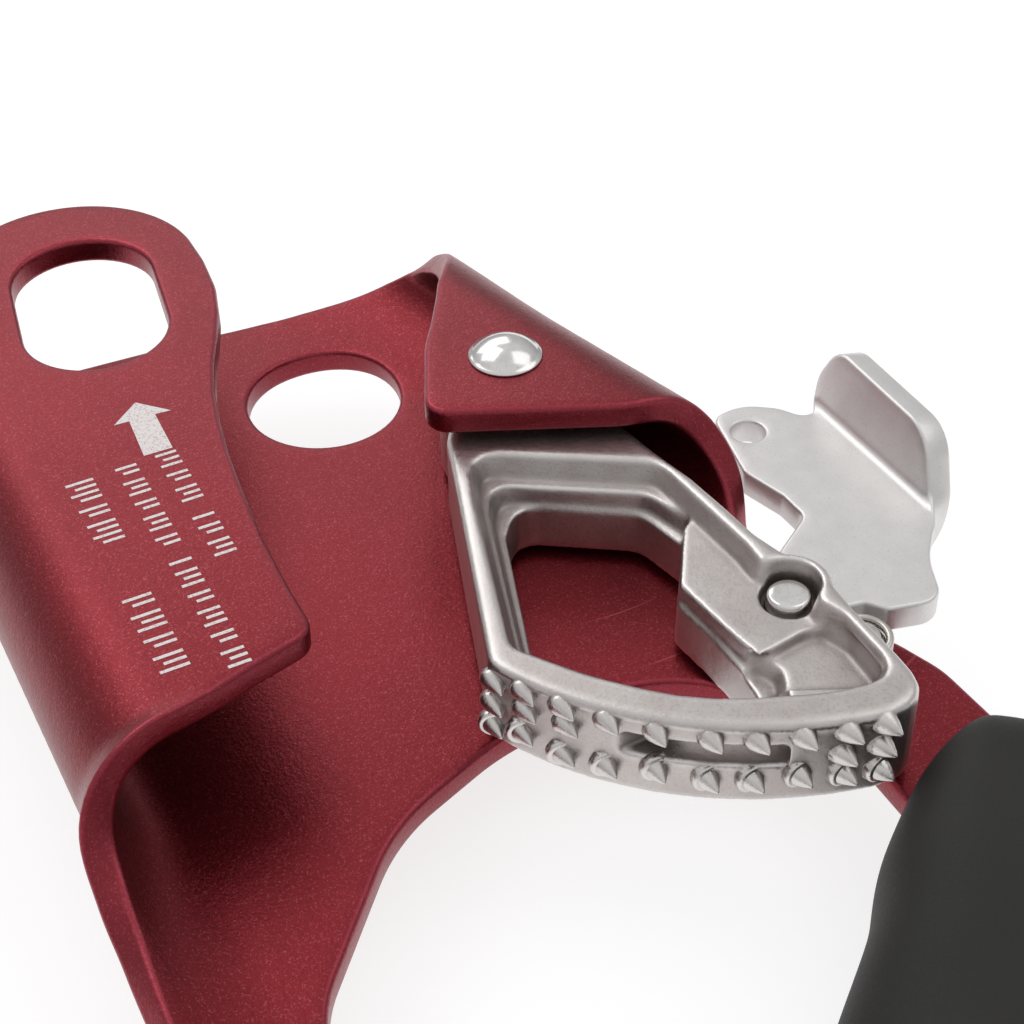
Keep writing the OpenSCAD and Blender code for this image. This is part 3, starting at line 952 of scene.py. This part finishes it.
def cone_teeth():
    """Pointed cones on the toothed face, raked at its left end, the lower row's in a collar."""
    verts, faces = [], []
    tilt, lower_row, n = 6, 9, 28
    for a, z in TEETH:
        ax = np.array([*polar(a + tilt), 0.0])
        u = np.array([-ax[1], ax[0], 0.0])
        w = np.array([0.0, 0.0, 1.0])
        rake = 0.36 * float(1 - smoothstep(a, 250, 258)) * u - 0.08 * w
        o = np.array([*face_point(a, -0.2), z])
        for rows, tip in [(CONE, 2.05)] + [(COLLAR, 0.1)] * (z < lower_row):
            base = len(verts)
            for r, h in rows:
                c = o + ax * h + rake * max(h, 0)
                verts += [c + r * (u * math.cos(2 * math.pi * k / n)
                                   + w * math.sin(2 * math.pi * k / n)) for k in range(n)]
            verts.append(o + ax * tip + rake * tip)
            for k in range(len(rows) - 1):
                faces += band(base + k * n, base + (k + 1) * n, n)
            last = base + (len(rows) - 1) * n
            faces += [(last + j, last + (j + 1) % n, len(verts) - 1) for j in range(n)]
            faces.append(tuple(range(base + n - 1, base - 1, -1)))
    return new_mesh("teeth", verts, faces)


# ------------------- lever

def lever_bend(v):
    """Bends the thumb tab of the flat lever up."""
    x, y, h = v.T
    line = TAB_LINE - 0.035 * (y - 127)
    s = x - line
    phi = np.clip(s / TAB_R, 0, TAB_ANGLE)
    past = np.maximum(s - phi * TAB_R, 0)
    z0 = LEVER_Z + LEVER_T / 2
    cx = line + TAB_R * np.sin(phi) + past * np.cos(phi) - h * np.sin(phi)
    cz = z0 + TAB_R * (1 - np.cos(phi)) + past * np.sin(phi) + h * np.cos(phi)
    out = np.c_[x, y, z0 + h]
    on = s > 0
    out[on, 0], out[on, 2] = cx[on], cz[on]
    return out


def build_lever():
    tip = TAB_LINE + TAB_R * TAB_ANGLE + 7.0
    outline = [
        [72.2, 140.9, 2.2], [76.8, 141.4, 6], [80.6, 138.6, 5], [82.9, 134.9, 2.5],
        [86.4, 137.6, 5], [90.6, 138.2, 5], [tip, 136.4, 3.4], [tip, 118.4, 6], [88.6, 114.4, 7],
        [83.6, 110.2, 7], [80.4, 106.6, 12], [77.6, 100.0, 3], [71.2, 101.6, 1.2], [69.6, 103.8, 1],
        [65.2, 104.6, 2], [63.4, 101.6, 2.5], [60, 99.6, 3], [55.8, 100.6, 3], [54.4, 105, 3],
        [56.6, 109.4, 3], [66.6, 116.2, 4], [71.8, 119.6, 1.8], [71.6, 124, 1.6],
        [69.9, 129.8, 1.5]][::-1]
    holes = [circle_loop(PIN, 2.56, 0.5), circle_loop((74.6, 136.3), 2.1, 0.4)]
    v, f, rim = sheet_mesh(rounded(outline, 0.6), holes, LEVER_T, edge_r=0.45, grid=0.9)
    tidy_slivers(make("catch_plate", lever_bend(v), f, "catch", SATIN,
                      ["catch_lever"], values=rim))


# -------------------- grip

# distance along the slant and half width, on the finger side and on the outer side
FINGER_SIDE = [(0, 4.6), (1.6, 5.6), (7, 8.4), (17.5, 11.6), (24.5, 11.8), (40.5, 15.8),
               (50.5, 12.9), (61.5, 15.0), (73.5, 12.2), (81.5, 13.8), (86.5, 13.2)]
OUTER_SIDE = [(0, 12.6), (5, 13.4), (30, 15.0), (60, 13.6), (86.5, 11.2)]


def half_width(t, rows):
    """Half width at t along the grip: the rows' straight runs, smoothed."""
    along = np.linspace(0, GRIP_LEN, 171)
    wide = np.interp(along, *np.transpose(rows))
    reach = 12
    k = np.exp(-0.5 * (np.arange(-reach, reach + 1) / 4.5) ** 2)
    wide = np.convolve(np.pad(wide, reach, mode="edge"), k / k.sum(), "valid")
    return np.interp(t, along, wide)


def grip_ring(t, end, n):
    """Oval ring of n points at t along the slant, drawn in near the rounded ends."""
    u = np.array([math.cos(GRIP_ANGLE), math.sin(GRIP_ANGLE)])
    w = np.array([-u[1], u[0]])
    q = min(t, GRIP_LEN - t) / end
    shrink = 1.0 if q >= 1 else math.sqrt(max(1 - (1 - q) ** 2, 0))
    pull = 1 - 5.2 * (1 - shrink) / 13
    a, b = half_width(t, FINGER_SIDE) * pull, half_width(t, OUTER_SIDE) * pull
    c = (11.9 + 0.6 * math.sin(t / GRIP_LEN * math.pi)) * pull
    squareness = 2 / 2.35
    ring = []
    for k in range(n):
        cg, sg = math.cos(2 * math.pi * k / n), math.sin(2 * math.pi * k / n)
        side = math.copysign(abs(cg) ** squareness, cg) * (a if cg > 0 else b)
        x, y = GRIP_TOP - u * t + w * side
        ring.append((x, y, FLAT_Z + math.copysign(abs(sg) ** squareness, sg) * c))
    return ring


def build_grip():
    """Lofted oval moulding: rings along the slant, waved on the finger side."""
    n, end = 72, 7.5
    ts = [end * (1 - math.cos(a)) for a in np.linspace(0.0, math.pi / 2, 10)]
    ts += list(np.linspace(end, GRIP_LEN - end, 66)[1:-1])
    ts += [GRIP_LEN - end * (1 - math.cos(a)) for a in np.linspace(math.pi / 2, 0.0, 10)]
    verts = [q for t in ts for q in grip_ring(t, end, n)]
    faces = []
    last = (len(ts) - 1) * n
    for a in range(0, last, n):
        faces += [(a + k, a + n + k, a + n + (k + 1) % n, a + (k + 1) % n) for k in range(n)]
    # end caps as shrinking rings
    for start, flip in ((0, False), (last, True)):
        ring = list(range(start, start + n))
        mid = np.mean([verts[i] for i in ring], 0)
        cap = []
        for s in (0.8, 0.55, 0.3):
            new = list(range(len(verts), len(verts) + n))
            verts += [tuple(mid + (np.array(verts[start + k]) - mid) * s) for k in range(n)]
            cap += [(ring[k], ring[(k + 1) % n], new[(k + 1) % n], new[k]) for k in range(n)]
            ring = new
        verts.append(tuple(mid))
        cap += [(ring[k], ring[(k + 1) % n], len(verts) - 1) for k in range(n)]
        faces += [q[::-1] for q in cap] if flip else cap
    ob = make("grip_moulding", verts, faces, "frame", RUBBER, ["grip_sleeve"])
    sub = ob.modifiers.new("sub", "SUBSURF")
    sub.levels = sub.render_levels = 1


# ------------- small parts

def turned(name, profile, centre, n, body, nodes, facing=-1):
    """Polished turned part; facing is -1 for a profile that runs down its outside."""
    v, f = lathe(profile, centre, n)
    make(name, v, [q[::facing] for q in f], body, POLISHED, nodes)


def washer_rows(z0, z1):
    """Profile of a thin washer round the rivet, with a chamfered rim."""
    inner = RIVET_R + 0.02
    return [(inner, z1), (inner, z0), (5.8, z0), (6.0, z0 + 0.2), (6.0, z1 - 0.2), (5.8, z1)]


def build_rivet():
    rise, half, shank_end = 2.2, 4.5, -1.4
    dome_r = (half ** 2 + rise ** 2) / (2 * rise)
    top = FRONT_Z + rise
    ang = math.asin(4.15 / dome_r)
    prof = [(dome_r * math.sin(ang * k / 12), top - dome_r * (1 - math.cos(ang * k / 12)))
            for k in range(13)]
    prof += [(4.42, FRONT_Z + 0.30), (half, FRONT_Z + 0.12), (4.4, FRONT_Z), (RIVET_R, FRONT_Z),
             (RIVET_R, shank_end), (4.3, shank_end), (half, -1.6), (half, -2.5)]
    prof += arc_rows(3.7, -2.2, 0.8, 0, -90, 5)[1:] + [(0, -3.0)]
    turned("rivet_domed", prof, RIVET, 72, "frame", ["cam_rivet"])
    prof = [(RIVET_R + 0.02, 0), (RIVET_R + 0.02, shank_end), (6.2, shank_end), (6.45, -1.2),
            (6.5, -0.25), (6.2, 0)]
    turned("back_washer", prof, RIVET, 64, "frame", ["rivet_washer"], 1)
    v1, f1 = lathe(washer_rows(3.5, 4.7), RIVET)
    v2, f2 = lathe(washer_rows(15.9, 17.0), RIVET)
    make("thrust_washers", v1 + v2, f1 + [tuple(i + len(v1) for i in q) for q in f2], "frame",
         NYLON, ["cam_washers"])


def build_pin():
    z0, z1 = 5.4, CAM_TOP - 2.15
    prof = [(0, z1), (1.6, z1)] + arc_rows(1.95, z1 - 0.5, 0.5, 80, 5)
    prof += [(2.5, z1 - 0.75), (2.5, z0), (0, z0)]
    turned("catch_pin_turned", prof, PIN, 56, "cam", ["catch_pin"])
    prof = [(0, z0), (3.8, z0), (4.0, 5.2), (4.0, 4.8), (3.7, 4.5), (0, 4.5)]
    turned("pin_head", prof, PIN, 56, "cam", ["pin_clip"])


def helix(c, r, z0, z1, turns, a0, per_turn=30):
    n = int(turns * per_turn)
    return [(c[0] + r * math.cos(a0 + 2 * math.pi * turns * k / n),
             c[1] + r * math.sin(a0 + 2 * math.pi * turns * k / n),
             z0 + (z1 - z0) * k / n) for k in range(n + 1)]


def build_springs():
    """Coil on the catch with its legs, its post, the lever's ledge under it, and the cam's coil."""
    z = LEVER_Z + 1.35
    path = [(COIL[0] - 4.2, COIL[1] + 2.9, z), (COIL[0] - 1.4, COIL[1] + 2.9, z)]
    path += helix(COIL, 2.95, z, z + 1.95, 2.1, math.radians(98))
    end = np.array(path[-1])
    path += [tuple(end + [-1.6, 0.9, 0.0]), tuple(end + [-3.0, 1.2, 0.0])]
    v, f = tube(path, 0.46)
    make("catch_coil", v, f, "catch", SPRING, ["catch_spring"])
    prof = [(0, 8.6), (1.6, 8.6), (1.9, 8.3), (1.9, 5.6), (0, 5.6)]
    turned("coil_post", prof, COIL, 40, "catch", ["spring_post"])
    ledge = rows_loop([[62.8, 101.4, 1], [64.4, 97.6, 2], [68.6, 97.0, 2], [70.6, 100.6, 1.5],
                       [71.4, 104.6, 1], [63.8, 104.6, 1]])
    me = stack([(ledge, LEVER_Z), (ledge, LEVER_Z + 0.72)])
    me.materials.append(SATIN)
    declare(place("spring_ledge", me), "catch", ())
    z = CAM_TOP - 4.5
    v, f = tube(helix(RIVET, 4.3, z, z + 3.6, 3.6, 0.6), 0.48)
    make("cam_coil", v, f, "frame", SPRING, ["cam_spring"])


# ------------- print marks

ARROW = [(-11.5, 57.2), (-15.1, 54.2), (-13.3, 54.1), (-13.9, 47.2), (-10.5, 47.1),
         (-10.2, 54.0), (-8.3, 53.8)]


def tick_row(x, y, groups, w):
    """Thin strokes of width w down the wall; each digit is a group's number of strokes."""
    pitch, thick, group_gap, word_gap = 1.05, 0.42, 0.75, 1.6
    ticks = []
    for c in groups:
        for k in range(int(c)):
            mid, half = x + 0.12 * w * (k % 2), w * (1 - 0.24 * (k % 2)) / 2
            ticks.append([(mid - half, y - thick / 2), (mid + half, y - thick / 2),
                          (mid + half, y + thick / 2), (mid - half, y + thick / 2)])
            y -= pitch
        y -= word_gap if c == "0" else group_gap
    return ticks


def build_marks():
    """Thin printed marks on the front wall: an arrow and rows of plain ticks."""
    shapes = [ARROW] + tick_row(-11.6, 46.4, "3230123", 2.5)
    shapes += tick_row(-16.4, 46.2, "232320132323", 2.5)
    shapes += tick_row(-21.9, 46.0, "424", 3.2) + tick_row(-22.4, 25.0, "2323", 3.2)
    verts, faces = [], []
    for shape in shapes:
        loop = np.array(shape) + MARKS_AT
        if area2(loop) < 0:
            loop = loop[::-1]
        n, b = len(loop), len(verts)
        verts += [(x, y, z) for z in (FRONT_Z + 0.03, FRONT_Z - 0.1) for x, y in loop]
        faces += [tuple(range(b, b + n)), tuple(range(b + 2 * n - 1, b + n - 1, -1))]
        faces += [(b + k, b + n + k, b + n + (k + 1) % n, b + (k + 1) % n) for k in range(n)]
    make("printed_marks", verts, faces, "frame", PRINT, smooth=False)


# ------------------- stage

def build_stage():
    n = 12
    xs = np.linspace(-FLOOR_SIZE / 2, FLOOR_SIZE / 2, n + 1)
    verts = [(x, y, FLOOR_Z) for y in xs for x in xs]
    faces = [(a, a + 1, a + n + 2, a + n + 1)
             for j in range(n) for a in range(j * (n + 1), j * (n + 1) + n)]
    me = new_mesh("studio_floor", verts, faces)
    me.materials.append(floor_material())
    place("studio_floor", me)


def area_light(name, pos, aim, size, power):
    li = bpy.data.lights.new(name, "AREA")
    li.shape = "RECTANGLE"
    li.size, li.size_y = size[0] * MM, size[1] * MM
    li.energy = power
    ob = place(name, li)
    ob.location = Vector(pos) * MM
    ob.rotation_euler = (Vector(aim) - Vector(pos)).to_track_quat("-Z", "Y").to_euler()


def build_lights():
    """Soft key, fill and back lights under a pale sky."""
    aim = (25, 120, 8)
    area_light("key", (-100, 400, 450), aim, (320, 320), 0.42)
    area_light("fill", (330, 60, 420), aim, (300, 360), 0.22)
    area_light("back", (60, 480, 250), aim, (360, 200), 0.26)
    world = bpy.data.worlds.new("studio")
    world.use_nodes = True
    bpy.context.scene.world = world
    t = world.node_tree
    bg = t.nodes["Background"]
    tc = t.nodes.new("ShaderNodeTexCoord")
    sep = t.nodes.new("ShaderNodeSeparateXYZ")
    ramp = t.nodes.new("ShaderNodeValToRGB")
    t.links.new(tc.outputs["Generated"], sep.inputs[0])
    t.links.new(sep.outputs[2], ramp.inputs[0])
    low, high = ramp.color_ramp.elements
    low.position, low.color = 0.0, (0.55, 0.55, 0.56, 1)
    high.position, high.color = 0.8, (1.0, 1.0, 1.0, 1)
    t.links.new(ramp.outputs[0], bg.inputs[0])
    bg.inputs[1].default_value = 0.72


def build_camera():
    cam = bpy.data.cameras.new("camera")
    cam.lens, cam.sensor_width = 70.3, 36
    cam.clip_start, cam.clip_end = 0.01, 20
    right, up, back = (0.890, -0.456, -0.015), (0.307, 0.573, 0.760), (-0.338, -0.681, 0.650)
    turn = Matrix((right, up, back)).transposed().to_quaternion().normalized()
    at = Matrix.Translation(Vector((-38.4, -25.0, 162.5)) * MM)
    ob = place("camera", cam)
    ob.matrix_world = at @ turn.to_matrix().to_4x4()
    bpy.context.scene.camera = ob


scene = bpy.context.scene
scene.view_settings.view_transform = "Standard"
scene.view_settings.look = "None"
build_camera()
build_frame()
build_cam()
build_lever()
build_grip()
build_rivet()
build_pin()
build_springs()
build_marks()
build_stage()
build_lights()
